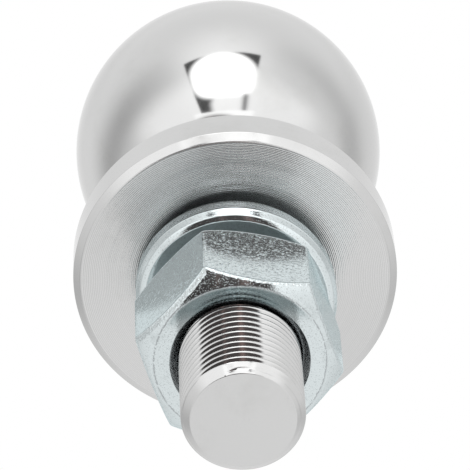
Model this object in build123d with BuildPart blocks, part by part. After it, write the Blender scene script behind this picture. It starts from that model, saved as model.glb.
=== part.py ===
"""Threaded tow ball with its spring lock washer and hexagon nut.

Sizes are in millimetres. The shank's free end stands on Z = 0, the ball is at the top,
and the axis of every piece is the Z axis.
"""
import os
from math import pi, radians, sqrt, tan

from build123d import *

# Tow ball: ball, neck, collar and shank are one solid
ball_diameter = 50.8
ball_height = 45.15
ball_flat_diameter = 16.0
ball_flat_chamfer = 0.4
neck_diameter = 28.0
neck_foot_chamfer = 3.0
neck_head_chamfer = 1.5
collar_diameter = 51.6
collar_thickness = 7.2
collar_seat_chamfer = 1.2
collar_top_chamfer = 0.6
shank_diameter = 19.05
shank_length = 44.45
shank_end_chamfer = 1.4
shank_root_chamfer = 0.4

# Spring lock washer, sprung open by its free rise
washer_clearance = 0.3
washer_bar_width = 6.075
washer_thickness = 4.78
washer_edge_chamfer = 0.9
washer_rise = 5.15
washer_split_angle = 6.0
washer_split_bearing = 100.0

# Hexagon nut, turned to a chamfer at both ends
nut_clearance = 0.05
nut_across_flats = 28.575
nut_thickness = 16.27
nut_chamfer_diameter = 27.35
nut_chamfer_angle = 30.0
nut_countersink = 1.57
nut_bearing = -76.2

# Air gap at each face of the washer
stack_gap = 0.15

ball_radius = ball_diameter / 2
neck_radius = neck_diameter / 2
collar_radius = collar_diameter / 2
shank_radius = shank_diameter / 2
collar_top_z = shank_length + collar_thickness
ball_z = shank_length + ball_height
washer_bore_radius = shank_radius + washer_clearance
washer_low_z = shank_length - stack_gap - washer_rise - washer_thickness
nut_top_z = washer_low_z - stack_gap
nut_low_z = nut_top_z - nut_thickness


def ring_edges(shape, radius, height):
    """Circular edges of one radius at one height."""
    circles = shape.edges().filter_by(GeomType.CIRCLE)
    level = circles.filter_by_position(Axis.Z, height - 0.001, height + 0.001)
    return level.filter_by(lambda edge: abs(edge.radius - radius) < 0.001)


def make_tow_ball():
    """Ball, neck, collar and shank, turned from one bar."""
    flat_radius = ball_flat_diameter / 2
    flat_z = ball_z + sqrt(ball_radius**2 - flat_radius**2)
    neck_head_z = ball_z - sqrt(ball_radius**2 - neck_radius**2)
    with BuildPart() as tow_ball:
        with BuildSketch(Plane.XY):
            Circle(shank_radius)
        extrude(amount=shank_length)
        with BuildSketch(Plane.XY.offset(shank_length)):
            Circle(collar_radius)
        extrude(amount=collar_thickness)
        with BuildSketch(Plane.XY.offset(collar_top_z)):
            Circle(neck_radius)
        extrude(amount=ball_height - collar_thickness)
        with BuildSketch(Plane.XZ):
            with Locations((0, ball_z)):
                Circle(ball_radius)
                Rectangle(ball_radius, ball_diameter, align=(Align.MAX, Align.CENTER), mode=Mode.SUBTRACT)
            with Locations((0, flat_z)):
                Rectangle(ball_diameter, ball_radius, align=(Align.CENTER, Align.MIN), mode=Mode.SUBTRACT)
        revolve(axis=Axis.Z)
        chamfer(ring_edges(tow_ball, neck_radius, neck_head_z), length=neck_head_chamfer)
        chamfer(ring_edges(tow_ball, neck_radius, collar_top_z), length=neck_foot_chamfer)
        chamfer(ring_edges(tow_ball, flat_radius, flat_z), length=ball_flat_chamfer)
        chamfer(ring_edges(tow_ball, collar_radius, collar_top_z), length=collar_top_chamfer)
        chamfer(ring_edges(tow_ball, collar_radius, shank_length), length=collar_seat_chamfer)
        chamfer(ring_edges(tow_ball, shank_radius, shank_length), length=shank_root_chamfer)
        chamfer(ring_edges(tow_ball, shank_radius, 0), length=shank_end_chamfer)
    return tow_ball


def make_lock_washer():
    """One open coil of flat bar; it winds against the thread, so its ends can bite."""
    coil_radius = washer_bore_radius + washer_bar_width / 2
    coil_lead = washer_rise * 360 / (360 - washer_split_angle)
    coil_low_z = washer_low_z + washer_thickness / 2
    along = (0, -2 * pi * coil_radius, coil_lead)
    with BuildPart() as coil:
        with BuildLine():
            Helix(coil_lead, washer_rise, coil_radius, center=(0, 0, coil_low_z), lefthand=True)
        with BuildSketch(Plane(origin=(coil_radius, 0, coil_low_z), x_dir=(1, 0, 0), z_dir=along)) as bar:
            Rectangle(washer_bar_width, washer_thickness)
            chamfer(bar.vertices(), length=washer_edge_chamfer)
        sweep(is_frenet=True)
    with BuildPart() as lock_washer:
        add(coil.part, rotation=(0, 0, washer_split_bearing))
    return lock_washer


def make_hex_nut():
    """Hexagon bar, turned to a cone at both ends, bored and countersunk."""
    bore_radius = shank_radius + nut_clearance
    chamfer_radius = nut_chamfer_diameter / 2
    corner_radius = nut_across_flats / sqrt(3)
    chamfer_drop = (corner_radius - chamfer_radius) * tan(radians(nut_chamfer_angle))
    with BuildPart() as hex_nut:
        with BuildSketch(Plane.XY.offset(nut_low_z)):
            RegularPolygon(nut_across_flats / 2, 6, major_radius=False, rotation=nut_bearing - 30)
        extrude(amount=nut_thickness)
        with BuildSketch(Plane.XZ):
            with BuildLine():
                Polyline(
                    (0, nut_low_z),
                    (chamfer_radius, nut_low_z),
                    (corner_radius, nut_low_z + chamfer_drop),
                    (corner_radius, nut_top_z - chamfer_drop),
                    (chamfer_radius, nut_top_z),
                    (0, nut_top_z),
                    close=True,
                )
            make_face()
        revolve(axis=Axis.Z, mode=Mode.INTERSECT)
        with Locations((0, 0, nut_top_z)):
            Hole(bore_radius)
        mouths = ring_edges(hex_nut, bore_radius, nut_low_z) + ring_edges(hex_nut, bore_radius, nut_top_z)
        chamfer(mouths, length=nut_countersink)
    return hex_nut


os.makedirs("parts", exist_ok=True)

tow_ball = make_tow_ball()
tow_ball.part.label = "tow_ball"
export_step(tow_ball.part, "parts/tow_ball.step")

lock_washer = make_lock_washer()
lock_washer.part.label = "lock_washer"
export_step(lock_washer.part, "parts/lock_washer.step")

hex_nut = make_hex_nut()
hex_nut.part.label = "hex_nut"
export_step(hex_nut.part, "parts/hex_nut.step")
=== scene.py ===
"""Dresses the packed tow ball: turned and threaded metal, its finishes, and a plain light studio.

Lengths are in metres in the frame of the packed model: the shank's free end stands on Z = 0, the
ball is above it, and every piece has the Z axis as its own.
"""
from math import asin, atan2, cos, pi, radians, sin, sqrt, tan

import bmesh
import bpy
from mathutils import Matrix, Vector


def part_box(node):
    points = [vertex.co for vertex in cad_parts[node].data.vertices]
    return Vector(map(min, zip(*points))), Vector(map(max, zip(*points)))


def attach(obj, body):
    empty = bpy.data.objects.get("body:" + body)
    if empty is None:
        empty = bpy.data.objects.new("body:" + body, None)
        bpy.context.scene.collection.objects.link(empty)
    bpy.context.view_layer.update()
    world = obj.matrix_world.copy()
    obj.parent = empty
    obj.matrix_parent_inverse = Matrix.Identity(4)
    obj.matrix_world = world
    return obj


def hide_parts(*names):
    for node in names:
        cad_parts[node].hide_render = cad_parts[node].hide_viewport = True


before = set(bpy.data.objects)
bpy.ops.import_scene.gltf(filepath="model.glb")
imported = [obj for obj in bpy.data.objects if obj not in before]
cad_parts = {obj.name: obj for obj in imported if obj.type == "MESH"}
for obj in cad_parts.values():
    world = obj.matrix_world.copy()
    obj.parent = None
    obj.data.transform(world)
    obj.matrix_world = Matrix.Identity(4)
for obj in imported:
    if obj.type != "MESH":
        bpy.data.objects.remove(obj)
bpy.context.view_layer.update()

bl_info = {
    "name": "Threaded tow ball",
    "version": (1, 0, 0),
    "blender": (4, 5, 0),
    "location": "3D View > Sidebar > Tow ball",
    "description": "Models a chromed tow ball with its spring lock washer and hexagon nut",
    "category": "Object",
}

MM = 0.001
AXIS = (0.0, 0.0, 1.0)
ORIGIN = (0.0, 0.0, 0.0)
SEAT_GAP = 0.15 * MM

# How near two points count as one: in a cut, in a finished piece and between copies
WELD = 1e-7
MERGE = 5e-7
JOIN = 1e-6

# Steps round or along each form, and the angle from which an edge stays sharp
THREAD_STEPS = 120
ROUND_STEPS = 192
BALL_STEPS = 72
COIL_STEPS = 180
CHAMFER_STEPS = 8
SHARP = radians(28)

BALL_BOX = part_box("tow_ball")
WASHER_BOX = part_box("lock_washer")
NUT_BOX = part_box("hex_nut")

# How fine each random pattern is, in features for each metre
SMUDGES = 90.0
SCUFFS = 700.0
DENTS = 1900.0
TOOL_MARKS = 2400.0
STAINS = 320.0
WAVES = 260.0
NUT_GRAIN = 4200.0
WASHER_GRAIN = 3600.0
DRAWING_LINES = 2600.0
WANDER = 1800.0
FLOOR_GRAIN = 30.0

# Directions square to the tent's seams, and the light that each seam takes far out and nearer
LEFT_SEAM = (0.194, 0.16, 0.968)
LEFT_SHADES = (0.23, 0.19)
RIGHT_SEAM = (-0.255, 0.356, 0.899)
RIGHT_SHADES = (0.1, 0.14)

# Light that other parts of the tent's walls lack
BEHIND_SHADE = 0.07
LOW_LEFT_SHADE = 0.14
SLANT_SHADE = 0.24

# Places in front, on a wall at a distance of 1, where soft edges start and end
SCREEN_WIDTH = 0.403
SCREEN_TOP = (0.33, 0.3)
LEFT_CORNER = (-0.14, -0.26)
RIGHT_CORNER = 0.275
CORNERS_FOOT = (-0.635, -0.61)
STRIP_TOP = (-0.61, -0.63)
STRIP_SIDE = (0.52, 0.42)

# Place, width and light of each streak in the gap round the camera
STREAKS = ((0.1, 0.045, 0.16), (-0.2, 0.02, 0.1))


# Properties


def length(name, description, millimetres):
    """A length in metres, whose default is given in millimetres."""
    return bpy.props.FloatProperty(
        name=name,
        description=description,
        default=millimetres * MM,
        min=0.0,
        precision=5,
        unit="LENGTH",
        subtype="DISTANCE",
    )


def angle(name, description, degrees_default):
    """An angle in radians, whose default is given in degrees."""
    return bpy.props.FloatProperty(
        name=name,
        description=description,
        default=radians(degrees_default),
        unit="ROTATION",
        subtype="ANGLE",
    )


def colour(name, description, default):
    """A linear colour."""
    return bpy.props.FloatVectorProperty(
        name=name, description=description, default=default, min=0.0, max=1.0, size=3, subtype="COLOR"
    )


def level(name, description, default):
    """A plain number, never below nothing."""
    return bpy.props.FloatProperty(name=name, description=description, default=default, min=0.0)


class TOWBALL_PG_ball(bpy.types.PropertyGroup):
    """Sizes of the ball, its neck and its collar"""

    ball_diameter: length("Ball diameter", "Across the ball", 50.8)
    ball_height: length("Ball height", "From the seat to the middle of the ball", 45.15)
    flat_diameter: length("Flat diameter", "Across the flat on top of the ball", 16.0)
    flat_edge: length("Flat edge", "Rounding of the flat's edge", 0.4)
    neck_diameter: length("Neck diameter", "Across the neck", 28.0)
    neck_foot: length("Neck foot", "Fillet between neck and collar", 3.0)
    neck_head: length("Neck head", "Fillet between neck and ball", 1.9)
    collar_diameter: length("Collar diameter", "Across the collar", 51.6)
    collar_thickness: length("Collar thickness", "Height of the collar", 7.2)
    seat_chamfer: length("Seat chamfer", "Chamfer of the collar at its seat, square to the axis", 1.27)
    seat_rise: length("Seat rise", "Height of that chamfer along the axis", 1.135)
    top_chamfer: length("Top chamfer", "Chamfer of the collar at its top", 0.2)
    edge_round: length("Edge round", "Rounding that polishing leaves on the collar's edges", 0.07)


class TOWBALL_PG_thread(bpy.types.PropertyGroup):
    """Sizes of the shank and of the thread that nut and shank share"""

    shank_diameter: length("Shank diameter", "Over the thread's crests", 19.05)
    pitch: length("Pitch", "From one crest to the next", 25.4 / 16)
    crest_width: length("Crest width", "Width of each rounded crest", 0.28)
    depth: length("Depth", "From crest to root on the shank", 0.97)
    flank_angle: angle("Flank angle", "Lean of each flank from square", 30.0)
    start_bearing: angle("Start bearing", "Bearing of the crest at the foot of the shank", 0.0)
    end_chamfer: length("End chamfer", "Chamfer at the free end, square to the axis", 1.43)
    end_rise: length("End rise", "Height of that chamfer along the axis", 1.365)
    end_round: length("End round", "Rounding between that chamfer and the end face", 0.15)
    end_depth: length("End depth", "Depth that the thread keeps on that chamfer", 0.05)
    runout_height: length("Run-out height", "Where the thread starts to run out", 37.0)
    runout_length: length("Run-out length", "From there to the plain part of the shank", 3.0)
    root_fillet: length("Root fillet", "Cone between shank and seat", 0.4)
    nut_play: length("Nut play", "Room between the flanks of nut and shank", 0.06)
    nut_room: length("Nut room", "From the shank's crests to the grooves of the nut", 0.075)
    nut_depth: length("Nut depth", "From groove to crest in the nut", 0.85)


class TOWBALL_PG_nut(bpy.types.PropertyGroup):
    """Sizes of the hexagon nut"""

    across_flats: length("Across flats", "Across two opposite flats", 28.575)
    chamfer_diameter: length("Chamfer diameter", "Across the round face at each end", 26.7)
    chamfer_angle: angle("Chamfer angle", "Lean of the chamfers where they start", 27.0)
    crown: level("Crown", "How much steeper the chamfers get, in slope for each metre outwards", 130.0)
    mouth_diameter: length("Mouth diameter", "Across the countersink's mouth", 21.8)
    bearing: angle("Bearing", "Bearing of one flat", -76.2)
    corner_round: length("Corner round", "Rounding of the six upright edges", 0.7)
    edge_round: length("Edge round", "Rounding between flats and chamfers", 0.14)
    ridge_width: length("Ridge width", "Ridge that turning leaves along the edge of each flat", 0.11)
    ridge_drop: length("Ridge drop", "From the edge of the flat to that ridge", 0.08)
    roll_width: length("Roll width", "Rolled edge between flats and chamfers", 0.33)
    wide_roll: length("Wide roll", "How much wider the rolled edge is on one flat", 0.5)
    line_width: length("Line width", "Broken line round the low face", 0.1)


class TOWBALL_PG_washer(bpy.types.PropertyGroup):
    """Sizes of the spring lock washer"""

    bore_radius: length("Bore radius", "From the axis to the coil", 9.825)
    bar_width: length("Bar width", "Width of the coiled bar", 6.075)
    bar_thickness: length("Bar thickness", "Thickness of the coiled bar", 4.78)
    bevel_width: length("Bevel width", "Lower bevels of the bar, square to the axis", 1.33)
    bevel_height: length("Bevel height", "Lower bevels of the bar, along the axis", 1.7)
    knee_width: length("Knee width", "From the wall to the knee of a lower bevel", 0.56)
    knee_height: length("Knee height", "From the face to the knee of a lower bevel", 0.5)
    top_width: length("Top bevel width", "Upper bevels of the bar, square to the axis", 0.5)
    top_height: length("Top bevel height", "Upper bevels of the bar, along the axis", 0.62)
    corner_round: length("Corner round", "Rounding between the bar's faces", 0.16)
    split_angle: angle("Split angle", "Gap between the two ends", 6.0)
    split_bearing: angle("Split bearing", "Bearing of the low end", 100.0)


class TOWBALL_PG_finish(bpy.types.PropertyGroup):
    """Colours and roughnesses of the metals, and the shade painted on them"""

    chrome: colour("Chrome", "Bright plating", (0.62, 0.62, 0.618))
    chrome_haze: colour("Chrome haze", "Plating where it has been handled", (0.585, 0.585, 0.58))
    chrome_roughness: level("Chrome roughness", "Roughness of the polished ball", 0.075)
    haze_roughness: level("Haze roughness", "Roughness that handling adds", 0.03)
    turned_roughness: level("Turned roughness", "Roughness of the turned seat", 0.2)
    feed: length("Feed", "From one turned groove to the next", 0.28)
    feed_depth: length("Feed depth", "Height that full relief on the ball stands for", 0.013)
    scuff_depth: level("Scuff depth", "Share of that height that the scuffs have", 0.03)
    dent_depth: level("Dent depth", "Share of that height that the dents have", 1.2)
    zinc: colour("Zinc", "Bright zinc plating", (0.67, 0.725, 0.735))
    zinc_dull: colour("Dull zinc", "Zinc plating in its pits and stains", (0.43, 0.47, 0.475))
    zinc_edge: colour("Zinc edge", "Tint of the zinc seen edge on", (0.84, 0.92, 0.935))
    chrome_edge: colour("Chrome edge", "Tint of the bright plating seen edge on", (0.98, 0.98, 0.98))
    zinc_roughness: level("Zinc roughness", "Roughness of the zinc plating", 0.06)
    pit_roughness: level("Pit roughness", "Roughness that the plating's pits add", 0.05)
    bore_roughness: level("Bore roughness", "Roughness that the bore adds", 0.2)
    wall_roughness: level("Wall roughness", "Roughness that the washer's walls add", 0.16)
    hidden_roughness: level("Hidden roughness", "Roughness that the nut's upper face adds", 0.5)
    zinc_depth: length("Zinc depth", "Height that full relief under the zinc stands for", 0.03)
    grain_depth: level("Grain depth", "Share of that height that the fine grain has", 0.2)
    wave_depth: level("Wave depth", "Share of that height that the broad waves have", 0.12)
    speck_depth: level("Speck depth", "Share of that height that the nut's specks have", 0.5)
    washer_specks: level("Washer specks", "Share of that height that its specks have", 0.15)
    roll_depth: level("Roll depth", "Share of that height that the nut's edges lose", 4.5)
    line_depth: level("Line depth", "Share of that height that the broken line has", 0.5)
    # Painted shade: the dark teal of the shank's reflection, painted on the front of the nut's low face by
    # the bore's mouth
    mouth_shade_colour: colour("Film colour", "Oily film by the bore's mouth", (0.24, 0.31, 0.32))
    # Painted shade in the bores of nut and washer, and the dark colour of the broken line round the nut's low
    # face
    line_and_bore_shade_colour: colour("Bore colour", "Unplated steel in the nut's bore", (0.34, 0.36, 0.37))


class TOWBALL_PG_studio(bpy.types.PropertyGroup):
    """Camera, floor and surroundings"""

    lens: length("Lens", "Focal length on a 36 mm wide sensor", 360.488)
    distance: length("Distance", "From the camera to the middle of the seat", 748.72)
    aim_height: length("Aim height", "Height on the axis that the small turns start from", 44.45)
    tilt: angle("Tilt", "Turn of the camera from looking straight down the axis", 151.534)
    aim_across: angle("Aim across", "Turn of the camera to its side", -0.0261)
    aim_up: angle("Aim up", "Turn of the camera upwards", 0.5483)
    roll: angle("Roll", "Turn of the camera about its own view", 3.2775)
    floor_size: length("Floor size", "Side of the floor", 30000.0)
    floor_colour: colour("Floor colour", "Plain pale floor", (0.86, 0.86, 0.86))
    tent_level: level("Tent level", "Light from the pale walls", 1.0)
    lamp_level: level("Lamp level", "Light of the round lamp in front", 1.2)
    lamp_width: level("Lamp width", "Half of the lamp's width, for a distance of 1", 0.375)
    lamp_top: level("Lamp top", "How far the lamp reaches up, for a distance of 1", 0.31)
    lamp_foot: level("Lamp foot", "How far the lamp reaches down, for a distance of 1", 0.37)
    glow_width: level("Glow width", "How far its glow reaches sideways", 0.5)
    glow_height: level("Glow height", "How far its glow reaches up and down", 0.8)
    glow_level: level("Glow level", "Light of that glow below the lamp", 0.24)
    glow_rise: level("Glow rise", "Light that the glow gains above the lamp", 0.16)
    corner_shade: level("Corner shade", "Share of light that the dark corners take", 0.92)
    strip_level: level("Strip level", "Light of the strip under the lamp, as a share of the lamp's", 0.2)
    near_level: level("Near level", "Light that the tent gains low in front", 0.3)
    gap_width: level("Gap width", "Half the width of the dark gap round the camera", 0.53)
    gap_height: level("Gap height", "Half the height of that gap", 0.46)
    gap_colour: colour("Gap colour", "Share of the tent's light left in the gap", (0.06, 0.054, 0.053))
    streak_colour: colour("Streak colour", "Light of two warm streaks in the gap", (1.0, 0.62, 0.55))


# Shader maths


class Socket:
    """A socket of a shader node; an expression on it adds Math nodes to the tree."""

    def __init__(self, shader, link):
        self.shader = shader
        self.link = link

    def output(self, name):
        """Another output of the same node."""
        return Socket(self.shader, self.link.node.outputs[name])

    def __add__(self, other):
        return self.shader.maths("ADD", self, other)

    __radd__ = __add__

    def __sub__(self, other):
        return self.shader.maths("SUBTRACT", self, other)

    def __rsub__(self, other):
        return self.shader.maths("SUBTRACT", other, self)

    def __mul__(self, other):
        return self.shader.maths("MULTIPLY", self, other)

    __rmul__ = __mul__

    def __truediv__(self, other):
        return self.shader.maths("DIVIDE", self, other)

    def __rtruediv__(self, other):
        return self.shader.maths("DIVIDE", other, self)

    def __pow__(self, other):
        return self.shader.maths("POWER", self, other)

    def __neg__(self):
        return self.shader.maths("MULTIPLY", self, -1.0)


class Shader:
    """The node tree of a material or of the world."""

    def __init__(self, owner):
        owner.use_nodes = True
        self.tree = owner.node_tree
        self.tree.nodes.clear()

    def node(self, kind, settings, values, output=0):
        """Adds a node, makes its settings, then gives its sockets their values or links."""
        made = self.tree.nodes.new(kind)
        for name, value in settings.items():
            setattr(made, name, value)
        for name, value in values.items():
            if isinstance(value, Socket):
                self.tree.links.new(value.link, made.inputs[name])
            else:
                made.inputs[name].default_value = value
        return Socket(self, made.outputs[output]) if made.outputs else None

    def maths(self, operation, *values):
        """One step of arithmetic on numbers and sockets."""
        return self.node("ShaderNodeMath", {"operation": operation}, dict(enumerate(values)))

    def step(self, value, start, end):
        """Rises smoothly from 0 to 1 as value goes from start to end."""
        ends = {"Value": value, "From Min": start, "From Max": end}
        return self.node("ShaderNodeMapRange", {"interpolation_type": "SMOOTHSTEP"}, ends)

    def bell(self, value, width):
        """1 where value is 0, falling to 0 over a few widths to both sides."""
        ratio = value / width
        return self.maths("EXPONENT", -(ratio * ratio))

    def larger(self, first, second):
        return self.maths("MAXIMUM", first, second)

    def smaller(self, first, second):
        return self.maths("MINIMUM", first, second)

    def size(self, value):
        """A value without its sign."""
        return self.maths("ABSOLUTE", value)

    def dot(self, vector, direction):
        """How far a vector points along a direction."""
        ends = {0: vector, 1: direction}
        return self.node("ShaderNodeVectorMath", {"operation": "DOT_PRODUCT"}, ends, "Value")

    def bearing(self, across, along, turn):
        """The bearing of a place after a turn about the axis, from -pi to pi."""
        ahead = across * sin(turn) + along * cos(turn)
        aside = across * cos(turn) - along * sin(turn)
        return self.maths("ARCTAN2", ahead, aside)

    def split(self, vector):
        """The three parts of a vector."""
        parts = self.node("ShaderNodeSeparateXYZ", {}, {0: vector})
        return parts, parts.output("Y"), parts.output("Z")

    def place(self, stretch=(1.0, 1.0, 1.0)):
        """Object coordinates in metres, stretched."""
        coordinates = self.node("ShaderNodeTexCoord", {}, {}, "Object")
        return self.node("ShaderNodeMapping", {}, {"Vector": coordinates, "Scale": stretch})

    def noise(self, place, scale, detail, roughness):
        """Soft random values about 0.5."""
        values = {"Vector": place, "Scale": scale, "Detail": detail, "Roughness": roughness}
        return self.node("ShaderNodeTexNoise", {"noise_dimensions": "3D"}, values)

    def lines(self, value, scale, detail, roughness):
        """Soft random values about 0.5 that change with one value only."""
        values = {"W": value, "Scale": scale, "Detail": detail, "Roughness": roughness}
        return self.node("ShaderNodeTexNoise", {"noise_dimensions": "1D"}, values)

    def blend(self, factor, first, second):
        """A colour between two colours."""
        values = {"Factor": factor, "A": first, "B": second}
        mixed = self.tree.nodes.new("ShaderNodeMix")
        mixed.data_type = "RGBA"
        for name, value in values.items():
            socket = [s for s in mixed.inputs if s.name == name and s.enabled][0]
            if isinstance(value, Socket):
                self.tree.links.new(value.link, socket)
            else:
                socket.default_value = opaque(value)
        return Socket(self, [s for s in mixed.outputs if s.enabled][0])

    def bump(self, height, distance):
        """A normal from a height whose 1 stands for the distance."""
        values = {"Height": height, "Distance": distance, "Strength": 1.0}
        return self.node("ShaderNodeBump", {}, values, "Normal")

    def metal(self, base, roughness, normal, edge):
        """Finishes a material as bare metal with a tint where it is seen edge on."""
        values = {"Base Color": base, "Metallic": 1.0, "Roughness": roughness, "Normal": normal}
        values["Specular Tint"] = opaque(edge)
        surface = self.node("ShaderNodeBsdfPrincipled", {}, values)
        self.node("ShaderNodeOutputMaterial", {}, {"Surface": surface})


# Materials


def opaque(rgb):
    """A colour with its fourth number."""
    return (*rgb, 1.0)


def polished_chrome(finish, shank_radius, seat_height):
    """Bright plating: polished, but for the rings of a lathe on the seat and dents in the shank's end."""
    material = bpy.data.materials.new("polished_chrome")
    shader = Shader(material)
    place = shader.place()
    across, along, height = shader.split(place)
    radius = (across * across + along * along) ** 0.5
    seat = shader.step(height, seat_height + 0.3 * MM, seat_height + 0.1 * MM)
    turned = seat * shader.step(radius, shank_radius + 0.075 * MM, shank_radius + 0.475 * MM)
    haze = shader.step(shader.noise(place, SMUDGES, 4.0, 0.6), 0.5, 0.75)
    grooves = shader.maths("SINE", radius * (2 * pi / finish.feed))
    rings = grooves * 0.5 + shader.lines(radius, TOOL_MARKS, 3.0, 0.65)
    scuffs = shader.noise(shader.place((1.0, 1.0, 4.0)), SCUFFS, 3.0, 0.6)
    middle = shader.step(radius, 2.6 * MM, 0.8 * MM) * shader.step(height, 0.1 * MM, 0.0)
    dents = shader.step(shader.noise(place, DENTS, 2.0, 0.6), 0.57, 0.68) * middle
    relief = rings * turned + scuffs * finish.scuff_depth - dents * finish.dent_depth
    base = shader.blend(haze, finish.chrome, finish.chrome_haze)
    added = finish.turned_roughness - finish.chrome_roughness
    roughness = haze * finish.haze_roughness + turned * added + finish.chrome_roughness
    shader.metal(base, roughness, shader.bump(relief, finish.feed_depth), finish.chrome_edge)
    return material


def zinc_plate(name, finish, grain_scale, bore_radius, specks, turning=None, drawing=None):
    """Bright zinc plating over steel, with a fine pitted grain, painted bore shade and the marks of its
    making.

    The marks of turning or drawing come from functions that build them on the place's parts. On the nut,
    these also give a painted shade by the bore's mouth.
    """
    material = bpy.data.materials.new(name)
    shader = Shader(material)
    place = shader.place()
    grain = shader.noise(place, grain_scale, 2.0, 0.6)
    pits = shader.step(grain, 0.56, 0.72)
    stains = shader.step(shader.noise(place, STAINS, 4.0, 0.6), 0.52, 0.75)
    dull = shader.smaller(pits * 0.8 + stains * 0.35, 1.0)
    base = shader.blend(dull, finish.zinc, finish.zinc_dull)
    across, along, height = shader.split(place)
    radius = (across * across + along * along) ** 0.5
    # Painted shade: the bore, of the nut and of the washer, is darkened as if it lay in shadow
    bore = shader.step(radius, bore_radius + 0.15 * MM, bore_radius - 0.35 * MM)
    base = shader.blend(bore, base, finish.line_and_bore_shade_colour)
    bits = shader.step(shader.noise(place, grain_scale * 1.1, 2.0, 0.55), 0.6, 0.68)
    waves = shader.noise(place, WAVES, 2.0, 0.5)
    relief = grain * finish.grain_depth + bits * specks + waves * finish.wave_depth
    roughness = pits * finish.pit_roughness + bore * finish.bore_roughness + finish.zinc_roughness
    if turning:
        ridges, rolled, line, mouth_shade, hidden = turning(shader, across, along, height, radius)
        relief = relief + ridges - rolled * finish.roll_depth - line * finish.line_depth
        # Painted shade: the front of the nut's low face by the bore's mouth darkens to the teal of the
        # shank's dark reflection
        base = shader.blend(mouth_shade * 0.85, base, finish.mouth_shade_colour)
        # The broken line round the low face takes the same dark colour as the painted bore shade
        base = shader.blend(line * 0.9, base, finish.line_and_bore_shade_colour)
        roughness = roughness + hidden * finish.hidden_roughness
    if drawing:
        scratches, wall = drawing(shader, across, along, height)
        relief = relief * (1.0 - wall * 0.75) + scratches
        roughness = roughness + wall * finish.wall_roughness
    relief = relief * (1.0 - bore)
    shader.metal(base, roughness, shader.bump(relief, finish.zinc_depth), finish.zinc_edge)
    return material


# Meshes


def everything(bm):
    """All of a mesh, as bmesh operators take it."""
    return bm.verts[:] + bm.edges[:] + bm.faces[:]


def only(kind, geometry):
    """The vertices, edges or faces among what an operator gives back."""
    return [item for item in geometry if isinstance(item, kind)]


def chain(bm, points, first=None):
    """Joins points of (radius, height) by edges, after a first vertex if there is one."""
    verts = [first] if first else []
    verts += [bm.verts.new((radius, 0.0, height)) for radius, height in points]
    for pair in zip(verts, verts[1:]):
        bm.edges.new(pair)
    return verts


def soften(bm, geometry, offset, segments, affect):
    """Rounds the edges between faces, or the corners of a chain or a flat face."""
    bmesh.ops.bevel(
        bm,
        geom=geometry,
        offset=offset,
        offset_type="OFFSET",
        segments=segments,
        profile=0.5,
        affect=affect,
        material=-1,
        clamp_overlap=True,
    )


def rim(bm, height):
    """The open edges at one height."""
    return [
        edge
        for edge in bm.edges
        if edge.is_boundary and all(abs(vert.co.z - height) < WELD for vert in edge.verts)
    ]


def grow_ring(bm, ring, radius, height):
    """Extrudes a round rim to another radius and height, and gives the new rim."""
    grown = bmesh.ops.extrude_edge_only(bm, edges=ring)["geom"]
    verts = only(bmesh.types.BMVert, grown)
    factor = radius / verts[0].co.xy.length
    bmesh.ops.scale(bm, vec=(factor, factor, 1.0), verts=verts)
    bmesh.ops.translate(bm, vec=(0.0, 0.0, height - verts[0].co.z), verts=verts)
    return [edge for edge in only(bmesh.types.BMEdge, grown) if edge.is_boundary]


def cut_across(bm, height, keep_above):
    """Cuts the mesh square to the axis and drops one side."""
    bmesh.ops.bisect_plane(
        bm,
        geom=everything(bm),
        dist=WELD,
        plane_co=(0.0, 0.0, height),
        plane_no=AXIS,
        clear_inner=keep_above,
        clear_outer=not keep_above,
    )
    for vert in bm.verts:
        if abs(vert.co.z - height) < JOIN:
            vert.co.z = height


def spin(bm, geometry, angle, steps, lift=0.0):
    """Sweeps a chain round the axis, rising by the lift at each step."""
    dvec = (0.0, 0.0, lift)
    bmesh.ops.spin(
        bm, geom=geometry, cent=ORIGIN, axis=AXIS, dvec=dvec, angle=angle, steps=steps, use_duplicate=False
    )


def repeat(bm, kept, count, turn, lift):
    """Repeats what isn't in kept up and round the axis, and welds the copies together."""
    first = [item for item in everything(bm) if item not in kept]
    for number in range(1, count):
        copied = bmesh.ops.duplicate(bm, geom=first)["geom"]
        verts = only(bmesh.types.BMVert, copied)
        bmesh.ops.rotate(bm, cent=ORIGIN, matrix=Matrix.Rotation(number * turn, 3, "Z"), verts=verts)
        bmesh.ops.translate(bm, vec=(0.0, 0.0, number * lift), verts=verts)
    bmesh.ops.remove_doubles(bm, verts=bm.verts, dist=JOIN)


def spin_thread(bm, points, pitch, turns):
    """Sweeps one pitch of profile once round a right-hand helix, and stacks its turns."""
    chain(bm, points)
    spin(bm, everything(bm), 2 * pi, THREAD_STEPS, pitch / THREAD_STEPS)
    repeat(bm, (), turns, 0.0, pitch)


def limit_radius(bm, smallest, largest):
    """Moves each vertex in or out to the radii allowed at its height."""
    for vert in bm.verts:
        radius = vert.co.xy.length
        allowed = min(max(radius, smallest(vert.co.z)), largest(vert.co.z))
        vert.co.xy *= allowed / radius


def finish_piece(bm, name, material, body, node):
    """Makes a closed mesh into a piece that rides on its body in place of its plain solid."""
    bmesh.ops.remove_doubles(bm, verts=bm.verts, dist=MERGE)
    bmesh.ops.recalc_face_normals(bm, faces=bm.faces)
    if not all(edge.is_manifold for edge in bm.edges):
        raise RuntimeError(name + " isn't closed")
    mesh = bpy.data.meshes.new(name)
    bm.to_mesh(mesh)
    bm.free()
    mesh.shade_smooth()
    mesh.set_sharp_from_angle(angle=SHARP)
    mesh.materials.append(material)
    piece = bpy.data.objects.new(name, mesh)
    bpy.context.scene.collection.objects.link(piece)
    weights = piece.modifiers.new("face_weighted_normals", "WEIGHTED_NORMAL")
    weights.keep_sharp = True
    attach(piece, body)
    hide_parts(node)


# Operators


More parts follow.
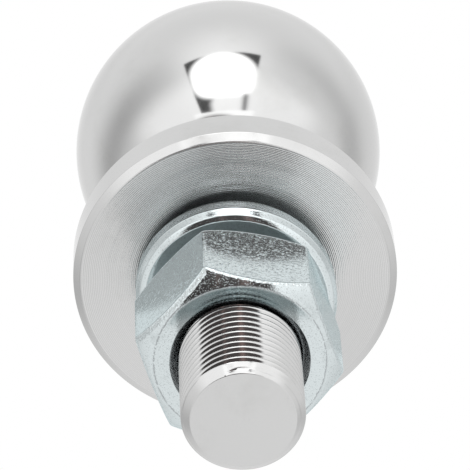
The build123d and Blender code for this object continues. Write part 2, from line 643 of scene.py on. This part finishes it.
class TOWBALL_OT_ball(bpy.types.Operator):
    """Turn the ball, its neck and collar, and cut the thread on the shank"""

    bl_idname = "towball.ball"
    bl_label = "Ball and shank"

    def execute(self, context):
        scene = context.scene
        sizes = scene.towball_ball
        thread = scene.towball_thread
        bm = bmesh.new()
        seat = self.cut_shank(bm, thread)
        self.turn_ball(bm, sizes, thread, seat)
        bmesh.ops.bridge_loops(bm, edges=[edge for edge in bm.edges if edge.is_boundary])
        material = polished_chrome(scene.towball_finish, thread.shank_diameter / 2, seat)
        finish_piece(bm, "chromed_tow_ball", material, "ball_body", "tow_ball")
        return {"FINISHED"}

    def cut_shank(self, bm, thread):
        """Threads the shank, chamfers its end and lets the thread run out; gives the seat's height."""
        radius = thread.shank_diameter / 2
        root = radius - thread.depth
        crest = thread.crest_width / 2
        blunt = crest / 2
        slope = tan(thread.flank_angle)
        foot = crest + thread.depth * slope
        downhill = [
            (radius - blunt * 0.3, crest * 0.8),
            (radius - blunt, crest + blunt * slope),
            (radius - thread.depth / 3, foot - thread.depth * slope * 2 / 3),
            (radius - thread.depth * 2 / 3, foot - thread.depth * slope / 3),
            (root, foot),
            (root, thread.pitch / 2),
        ]
        start = -thread.pitch * (2 - thread.start_bearing / (2 * pi))
        profile = [(distance, start - away) for distance, away in reversed(downhill)]
        profile += [(radius, start)]
        profile += [(distance, start + away) for distance, away in downhill]
        plain = thread.runout_height + thread.runout_length
        turns = int(plain / thread.pitch) + 4
        spin_thread(bm, profile, thread.pitch, turns)
        cut_across(bm, 0.0, True)
        cut_across(bm, plain, False)
        lean = atan2(thread.end_rise, thread.end_chamfer)
        bend = thread.end_round
        bend_height = bend * (1.0 - cos(lean))
        face = radius - thread.end_chamfer
        rings = [bend_height * (number / 5) ** 2 for number in range(1, 6)]
        rings += [thread.end_rise * share for share in (0.35, 0.6, 0.8, 0.9, 1.0)]
        for height in rings:
            bmesh.ops.bisect_plane(
                bm, geom=everything(bm), dist=WELD, plane_co=(0.0, 0.0, height), plane_no=AXIS
            )

        def smallest(z):
            """The root rises where the thread runs out, and nearly to the surface on the end chamfer."""
            runout = root + max(z - thread.runout_height, 0.0) * 0.5
            chamfer = radius + min((z - thread.end_rise) / tan(lean), (thread.end_rise - z) * 3.0)
            return min(max(runout, chamfer - thread.end_depth), radius)

        def largest(z):
            """The end chamfer and the rounding between it and the end face."""
            chamfer = face + z / tan(lean)
            if z < bend_height:
                chamfer = face - bend * tan(lean / 2) + sqrt(bend**2 - (bend - z) ** 2)
            return min(chamfer, radius)

        limit_radius(bm, smallest, largest)
        bmesh.ops.contextual_create(bm, geom=rim(bm, 0.0))
        return WASHER_BOX[1].z + SEAT_GAP

    def turn_ball(self, bm, sizes, thread, seat):
        """Spins the outline of ball, neck and collar about the axis."""
        ball = sizes.ball_diameter / 2
        middle = seat + sizes.ball_height
        flat = sizes.flat_diameter / 2
        neck = sizes.neck_diameter / 2
        collar = sizes.collar_diameter / 2
        collar_top = seat + sizes.collar_thickness
        shank = thread.shank_diameter / 2
        flat_height = middle + sqrt(ball**2 - flat**2)
        neck_height = middle - sqrt(ball**2 - neck**2)
        arc_start = asin(flat / ball)
        arc_end = pi - asin(neck / ball) - sizes.neck_head / ball
        shank_mesh = set(everything(bm))
        top = chain(bm, [(0.0, flat_height), (flat, flat_height)])
        arc = bmesh.ops.spin(
            bm,
            geom=top[1:],
            cent=(0.0, 0.0, middle),
            axis=(0.0, 1.0, 0.0),
            angle=arc_end - arc_start,
            steps=BALL_STEPS,
            use_duplicate=False,
        )
        last = only(bmesh.types.BMVert, arc["geom_last"])[0]
        outline = chain(
            bm,
            [
                (neck, neck_height),
                (neck, collar_top),
                (collar - sizes.top_chamfer, collar_top),
                (collar, collar_top - sizes.top_chamfer),
                (collar, seat + sizes.seat_rise),
                (collar - sizes.seat_chamfer, seat),
                (shank + thread.root_fillet, seat),
                (shank, seat - thread.root_fillet),
                (shank, thread.runout_height + thread.runout_length + 1 * MM),
            ],
            last,
        )
        soften(bm, [outline[1]], sizes.neck_head, 8, "VERTICES")
        outline = [v for v in outline if v.is_valid]
        foot = [v for v in outline if (v.co - Vector((neck, 0, collar_top))).length < WELD]
        soften(bm, foot, sizes.neck_foot, 10, "VERTICES")
        collar_corners = [
            v
            for v in bm.verts
            if v.co.x > collar - 2 * sizes.seat_chamfer
            and seat - WELD < v.co.z < collar_top + WELD
            and abs(v.co.y) < WELD
        ]
        soften(bm, collar_corners, sizes.edge_round, 3, "VERTICES")
        soften(bm, [top[1]], sizes.flat_edge, 3, "VERTICES")
        wire = [edge for edge in bm.edges if edge.is_wire]
        verts = list({vert for edge in wire for vert in edge.verts})
        spin(bm, verts + wire, pi / 4, ROUND_STEPS // 8)
        repeat(bm, shank_mesh, 8, pi / 4, 0.0)


class TOWBALL_OT_nut(bpy.types.Operator):
    """Tap, countersink, turn and mill the hexagon nut"""

    bl_idname = "towball.nut"
    bl_label = "Hexagon nut"

    def execute(self, context):
        scene = context.scene
        sizes = scene.towball_nut
        thread = scene.towball_thread
        low, high = NUT_BOX[0].z, NUT_BOX[1].z
        bm = bmesh.new()
        self.tap(bm, thread, sizes, low, high)
        self.turn(bm, sizes, low, high)
        for flat in range(6):
            self.mill(bm, sizes.bearing + flat * pi / 3, sizes.across_flats / 2)
        self.round_outside(bm, sizes)

        def turning(shader, across, along, height, radius):
            return self.turning_marks(shader, sizes, across, along, height, radius)

        finish = scene.towball_finish
        mouth = sizes.mouth_diameter / 2
        material = zinc_plate("zinc_nut", finish, NUT_GRAIN, mouth, finish.speck_depth, turning=turning)
        finish_piece(bm, "zinc_hex_nut", material, "nut_body", "hex_nut")
        return {"FINISHED"}

    def turning_marks(self, shader, sizes, across, along, height, radius):
        """What turning and use leave on the nut, and a painted shade on it.

        Gives the ridges along the flats' edges, the rolled edge of the chamfers, the broken line round the
        low face, a painted shade on the front of that face that stands for the shank's dark reflection, and
        the dull upper face that the washer hides.
        """
        up = height - NUT_BOX[0].z
        down = NUT_BOX[1].z - height
        out = radius - sizes.chamfer_diameter / 2
        fallen = self.drop(sizes, shader.larger(out, 0.0)) + sizes.ridge_drop
        wander = shader.noise(shader.place(), WANDER, 2.0, 0.7)
        stray = (wander - 0.5) * (0.5 * MM)
        turned = shader.bearing(across, along, -sizes.bearing)
        flat = shader.maths("ROUND", turned / (pi / 3))
        fold = shader.maths("COSINE", turned - flat * (pi / 3))
        wide = shader.bell(flat + 1.0, 0.4)
        inward = sizes.across_flats / 2 - radius * fold + stray
        rolled = shader.step(inward / (wide * sizes.wide_roll + sizes.roll_width), 1.0, 0.0)
        rolled = rolled * shader.step(out, 0.1 * MM, 0.3 * MM) * (wide * 1.1 + 1.0)
        upper = shader.bell(down - fallen, sizes.ridge_width)
        lower = shader.bell(up - fallen, sizes.ridge_width) * shader.step(out, 0.3 * MM, 0.5 * MM)
        line = shader.bell(out + stray, sizes.line_width) * shader.step(up, 1.0 * MM, 0.5 * MM)
        line = line * shader.step(wander, 0.36, 0.46)
        # Painted shade: the front of the low face, inside the round face's edge, where the shank's dark
        # reflection falls
        mouth_shade = shader.step(along, -6.0 * MM, -10.0 * MM) * shader.step(out, 0.0, -0.5 * MM)
        mouth_shade = mouth_shade * shader.step(up, 0.3 * MM, 0.05 * MM)
        hidden = shader.step(down, 0.1 * MM, 0.02 * MM)
        return upper + lower, rolled, line, mouth_shade, hidden

    def tap(self, bm, thread, sizes, low, high):
        """Sweeps the thread of the bore, clear of the shank's, and countersinks both ends."""
        crest = thread.crest_width / 2
        shank = thread.shank_diameter / 2
        groove = shank + thread.nut_room
        inner = groove - thread.nut_depth
        slope = tan(thread.flank_angle)
        top = crest + (shank - groove) * slope + thread.nut_play
        bottom = crest + (shank - inner) * slope + thread.nut_play
        half = thread.pitch / 2
        whole = int(low / thread.pitch) - 2
        start = thread.pitch * (whole + thread.start_bearing / (2 * pi))
        profile = [
            (inner, start - half),
            (inner, start - bottom),
            (groove, start - top),
            (groove, start + top),
            (inner, start + bottom),
            (inner, start + half),
        ]
        turns = int((high - start) / thread.pitch) + 2
        spin_thread(bm, profile, thread.pitch, turns)
        cut_across(bm, low, True)
        cut_across(bm, high, False)
        mouth = sizes.mouth_diameter / 2
        limit_radius(
            bm,
            lambda z: max(mouth - (z - low), mouth - (high - z), 0.0),
            lambda z: max(mouth, groove),
        )

    def drop(self, sizes, out):
        """How far a chamfer has fallen at a distance out from the round face."""
        return out * tan(sizes.chamfer_angle) + out * out * (sizes.crown / 2)

    def turn(self, bm, sizes, low, high):
        """Grows both mouths out over the end faces and crowned chamfers to a round blank."""
        face = sizes.chamfer_diameter / 2
        blank = sizes.across_flats * 0.6
        bottom = grow_ring(bm, rim(bm, low), face, low)
        top = grow_ring(bm, rim(bm, high), face, high)
        for number in range(1, CHAMFER_STEPS + 1):
            out = (blank - face) * number / CHAMFER_STEPS
            drop = self.drop(sizes, out)
            bottom = grow_ring(bm, bottom, face + out, low + drop)
            top = grow_ring(bm, top, face + out, high - drop)
        bmesh.ops.bridge_loops(bm, edges=bottom + top)

    def mill(self, bm, bearing, distance):
        """Cuts one flat and closes it."""
        outward = Vector((cos(bearing), sin(bearing), 0.0))
        cut = bmesh.ops.bisect_plane(
            bm,
            geom=everything(bm),
            dist=WELD,
            plane_co=outward * distance,
            plane_no=outward,
            clear_outer=True,
        )
        bmesh.ops.contextual_create(bm, geom=only(bmesh.types.BMEdge, cut["geom_cut"]))

    def round_outside(self, bm, sizes):
        """Takes the sharpness off the hexagon's edges."""
        bmesh.ops.recalc_face_normals(bm, faces=bm.faces)

        def outside():
            return [
                edge
                for edge in bm.edges
                if len(edge.link_faces) == 2
                and all(vert.co.xy.length > sizes.chamfer_diameter / 2 + 0.1 * MM for vert in edge.verts)
                and edge.calc_face_angle(0.0) > radians(20)
            ]

        upright = [edge for edge in outside() if (edge.verts[0].co - edge.verts[1].co).xy.length < WELD]
        soften(bm, upright, sizes.corner_round, 5, "EDGES")
        soften(bm, outside(), sizes.edge_round, 2, "EDGES")


class TOWBALL_OT_washer(bpy.types.Operator):
    """Coil the spring lock washer"""

    bl_idname = "towball.washer"
    bl_label = "Lock washer"

    def execute(self, context):
        scene = context.scene
        sizes = scene.towball_washer
        low, high = WASHER_BOX[0].z, WASHER_BOX[1].z
        rise = high - low - sizes.bar_thickness
        turn = 2 * pi - sizes.split_angle
        inner = sizes.bore_radius
        outer = inner + sizes.bar_width
        top = low + sizes.bar_thickness
        bm = bmesh.new()
        corners = [
            (inner + sizes.bevel_width, low),
            (outer - sizes.bevel_width, low),
            (outer - sizes.knee_width, low + sizes.knee_height),
            (outer, low + sizes.bevel_height),
            (outer, top - sizes.top_height),
            (outer - sizes.top_width, top),
            (inner + sizes.top_width, top),
            (inner, top - sizes.top_height),
            (inner, low + sizes.bevel_height),
            (inner + sizes.knee_width, low + sizes.knee_height),
        ]
        verts = chain(bm, corners)
        bm.faces.new(verts)
        soften(bm, verts, sizes.corner_round, 4, "VERTICES")
        bmesh.ops.rotate(
            bm, cent=ORIGIN, matrix=Matrix.Rotation(sizes.split_bearing, 3, "Z"), verts=bm.verts
        )
        bmesh.ops.delete(bm, geom=bm.faces[:], context="FACES_ONLY")
        spin(bm, everything(bm), -turn, COIL_STEPS, rise / COIL_STEPS)
        bmesh.ops.holes_fill(bm, edges=bm.edges[:], sides=0)

        def drawing(shader, across, along, height):
            """Scratches that drawing left along the bar, and the bar's walls; both climb with the coil."""
            climb = (shader.bearing(across, along, pi - sizes.split_bearing) - pi) * (rise / turn)
            above = height + climb - low
            wall = shader.step(above, sizes.bevel_height - 0.2 * MM, sizes.bevel_height + 0.1 * MM)
            scratches = shader.lines(above, DRAWING_LINES, 2.0, 0.6) * (0.8 + wall * 4.0)
            return scratches, wall

        finish = scene.towball_finish
        specks = finish.washer_specks
        material = zinc_plate("zinc_washer", finish, WASHER_GRAIN, inner, specks, drawing=drawing)
        finish_piece(bm, "zinc_lock_washer", material, "washer_body", "lock_washer")
        return {"FINISHED"}


class TOWBALL_OT_studio(bpy.types.Operator):
    """Make the camera, the floor and the pale surroundings"""

    bl_idname = "towball.studio"
    bl_label = "Studio"

    def execute(self, context):
        scene = context.scene
        studio = scene.towball_studio
        scene.view_settings.view_transform = "Standard"
        self.make_camera(scene, studio)
        self.make_floor(scene, studio)
        self.make_world(scene, studio)
        return {"FINISHED"}

    def make_camera(self, scene, studio):
        """Looks at the middle of the seat from below and in front."""
        camera = bpy.data.cameras.new("camera")
        camera.lens = studio.lens / MM
        camera.sensor_width = 36.0
        camera.clip_start = 0.01
        camera.clip_end = 200.0
        turn = Matrix.Rotation(studio.tilt, 4, "X")
        middle = Matrix.Translation((0.0, 0.0, BALL_BOX[0].z + studio.aim_height))
        back = Matrix.Translation((0.0, 0.0, studio.distance))
        aim = (
            Matrix.Rotation(studio.aim_across, 4, "Y")
            @ Matrix.Rotation(studio.aim_up, 4, "X")
            @ Matrix.Rotation(-studio.roll, 4, "Z")
        )
        holder = bpy.data.objects.new("camera", camera)
        holder.matrix_world = middle @ turn @ back @ aim
        scene.collection.objects.link(holder)
        scene.camera = holder

    def make_floor(self, scene, studio):
        """A plain floor that only a camera above it sees; light goes through it."""
        bm = bmesh.new()
        bmesh.ops.create_grid(bm, x_segments=1, y_segments=1, size=studio.floor_size / 2)
        mesh = bpy.data.meshes.new("floor")
        bm.to_mesh(mesh)
        bm.free()
        floor = bpy.data.objects.new("floor", mesh)
        scene.collection.objects.link(floor)
        material = bpy.data.materials.new("pale_floor")
        shader = Shader(material)
        place = shader.place()
        grain = shader.noise(place, FLOOR_GRAIN, 3.0, 0.5)
        darker = [part * 0.985 for part in studio.floor_colour]
        shade = shader.blend(grain, studio.floor_colour, darker)
        plain = shader.node("ShaderNodeBsdfDiffuse", {}, {"Color": shade})
        clear = shader.node("ShaderNodeBsdfTransparent", {}, {})
        seen = shader.node("ShaderNodeLightPath", {}, {}, "Is Camera Ray")
        below = shader.node("ShaderNodeNewGeometry", {}, {}, "Backfacing")
        surface = shader.node("ShaderNodeMixShader", {}, {0: seen * (1 - below), 1: clear, 2: plain})
        shader.node("ShaderNodeOutputMaterial", {}, {"Surface": surface})
        mesh.materials.append(material)

    def make_world(self, scene, studio):
        """A pale tent for the metal to reflect; the camera itself sees plain white."""
        world = bpy.data.worlds.new("tent")
        scene.world = world
        shader = Shader(world)
        outward = shader.node("ShaderNodeTexCoord", {}, {}, "Generated")
        lamp, glow, corners = self.make_front(shader, studio, outward)
        tent = self.make_walls(shader, studio, outward) + glow
        tent = tent * (1.0 - corners * studio.corner_shade) + lamp * studio.lamp_level
        gap, streaks = self.make_gap(shader, studio, outward)
        parts = zip(studio.gap_colour, studio.streak_colour)
        mixed = [tent * (1.0 - gap * (1.0 - left)) + gap * streaks * tint for left, tint in parts]
        light = shader.node("ShaderNodeCombineColor", {}, dict(enumerate(mixed)))
        surround = shader.node("ShaderNodeBackground", {}, {"Color": light, "Strength": 1.0})
        white = shader.node("ShaderNodeBackground", {}, {"Color": opaque((1.0, 1.0, 1.0)), "Strength": 1.0})
        seen = shader.node("ShaderNodeLightPath", {}, {}, "Is Camera Ray")
        surface = shader.node("ShaderNodeMixShader", {}, {0: seen, 1: surround, 2: white})
        shader.node("ShaderNodeOutputWorld", {}, {"Surface": surface})

    def make_walls(self, shader, studio, outward):
        """Light from the tent's walls.

        It is less along a seam to each side, high behind and low on the left, and more low in front
        and low on the right.
        """
        across, along, height = shader.split(outward)
        far, nearer = LEFT_SHADES
        left = shader.step(across, -0.6, -1.0) * far + shader.step(across, -0.3, -0.7) * nearer
        left = left * shader.bell(shader.dot(outward, LEFT_SEAM) + 0.05, 0.31)
        far, nearer = RIGHT_SHADES
        right = shader.step(across, 0.6, 0.95) * far + shader.step(across, 0.3, 0.7) * nearer
        right = right * shader.bell(shader.dot(outward, RIGHT_SEAM) - 0.04, 0.28)
        behind = shader.step(along, -0.2, 0.1) * shader.step(height, -0.1, 0.2)
        behind = behind * shader.step(across, -0.8, -0.5) * BEHIND_SHADE
        slant = (shader.step(across, -0.2, 0.2) - 0.5) * shader.step(height, -0.75, -0.86) * SLANT_SHADE
        low_left = shader.step(across, -0.1, -0.4) * shader.step(height, -0.74, -0.86) * LOW_LEFT_SHADE
        near = shader.step(height, 0.12, -0.25) * shader.step(along, -0.15, -0.55)
        return studio.tent_level - left - right - behind + near * studio.near_level - low_left + slant

    def make_front(self, shader, studio, outward):
        """The round lamp and the pale strip under it, the glow round the lamp and the dark corners.

        Distances to the side and up are measured on a wall at a distance of 1 in front.
        """
        across, along, height = shader.split(outward)
        front = shader.step(along, 0.0, -0.2)
        toward = shader.larger(-along, 0.02)
        side = across / toward
        rise = height / toward
        lift = shader.larger(rise, 0.0) / studio.lamp_top + shader.smaller(rise, 0.0) / studio.lamp_foot
        power = shader.step(rise, 0.05, -0.15) * 1.4 + 2.0
        reach = (shader.size(side / studio.lamp_width) ** power + shader.size(lift) ** power) ** (1.0 / power)
        lamp = shader.step(reach, 1.16, 0.8) * front
        glow_reach = ((side / studio.glow_width) ** 2.0 + (rise / studio.glow_height) ** 2.0) ** 0.5
        glow = shader.step(rise, -0.3, 0.1) * studio.glow_rise + studio.glow_level
        glow = shader.bell(glow_reach, 1.0) * front * glow
        middle = side + 0.018 - rise * 0.02
        screen = shader.step(shader.size(middle) / (rise * 0.1 + SCREEN_WIDTH), 1.03, 0.97)
        screen = screen * shader.step(rise - side * 0.095, *SCREEN_TOP) * front
        inner = side - shader.step(rise, -0.5, -0.34) * 0.06
        left = shader.larger(shader.step(inner, *LEFT_CORNER), shader.step(rise, 0.0, 0.1))
        right = shader.bell(side - RIGHT_CORNER, 0.045) * shader.step(rise, -0.3, -0.36) * 0.8
        corners = shader.larger(screen * shader.step(reach, 1.0, 1.2) * left, right)
        corners = corners * shader.step(rise, *CORNERS_FOOT)
        strip = shader.step(rise, *STRIP_TOP) * shader.step(shader.size(side + 0.03), *STRIP_SIDE)
        strip = strip * front * studio.strip_level
        return shader.larger(lamp, strip * (1.0 - corners)), glow, corners

    def make_gap(self, shader, studio, outward):
        """The dark gap in the tent round the camera, and two faint streaks in it."""
        across = shader.split(outward)[0]
        sideways = (across + 0.1) / studio.gap_width
        upright = shader.dot(outward, (0.0, cos(studio.tilt), sin(studio.tilt))) / studio.gap_height
        facing = shader.step(shader.dot(outward, (0.0, -sin(studio.tilt), cos(studio.tilt))), 0.0, 0.1)
        gap = shader.step((sideways * sideways + upright * upright) ** 0.5, 1.05, 0.9) * facing
        return gap, sum(shader.bell(across - place, width) * light for place, width, light in STREAKS)


class TOWBALL_PT_sidebar(bpy.types.Panel):
    """Lists the sizes, the finishes and the pieces"""

    bl_idname = "TOWBALL_PT_sidebar"
    bl_label = "Tow ball"
    bl_space_type = "VIEW_3D"
    bl_region_type = "UI"
    bl_category = "Tow ball"

    def draw(self, context):
        for operator in OPERATORS:
            self.layout.operator(operator.bl_idname)
        for attribute, group in GROUPS.items():
            box = self.layout.box()
            box.label(text=group.__doc__)
            for name in group.__annotations__:
                box.prop(getattr(context.scene, attribute), name)


GROUPS = {
    "towball_ball": TOWBALL_PG_ball,
    "towball_thread": TOWBALL_PG_thread,
    "towball_nut": TOWBALL_PG_nut,
    "towball_washer": TOWBALL_PG_washer,
    "towball_finish": TOWBALL_PG_finish,
    "towball_studio": TOWBALL_PG_studio,
}
OPERATORS = (TOWBALL_OT_studio, TOWBALL_OT_ball, TOWBALL_OT_washer, TOWBALL_OT_nut)


def register():
    for cls in (*GROUPS.values(), *OPERATORS, TOWBALL_PT_sidebar):
        bpy.utils.register_class(cls)
    for attribute, group in GROUPS.items():
        setattr(bpy.types.Scene, attribute, bpy.props.PointerProperty(type=group))


def unregister():
    for attribute in GROUPS:
        delattr(bpy.types.Scene, attribute)
    for cls in reversed((*GROUPS.values(), *OPERATORS, TOWBALL_PT_sidebar)):
        bpy.utils.unregister_class(cls)


def main():
    register()
    bpy.ops.towball.studio()
    bpy.ops.towball.ball()
    bpy.ops.towball.washer()
    bpy.ops.towball.nut()


if __name__ == "__main__":
    main()
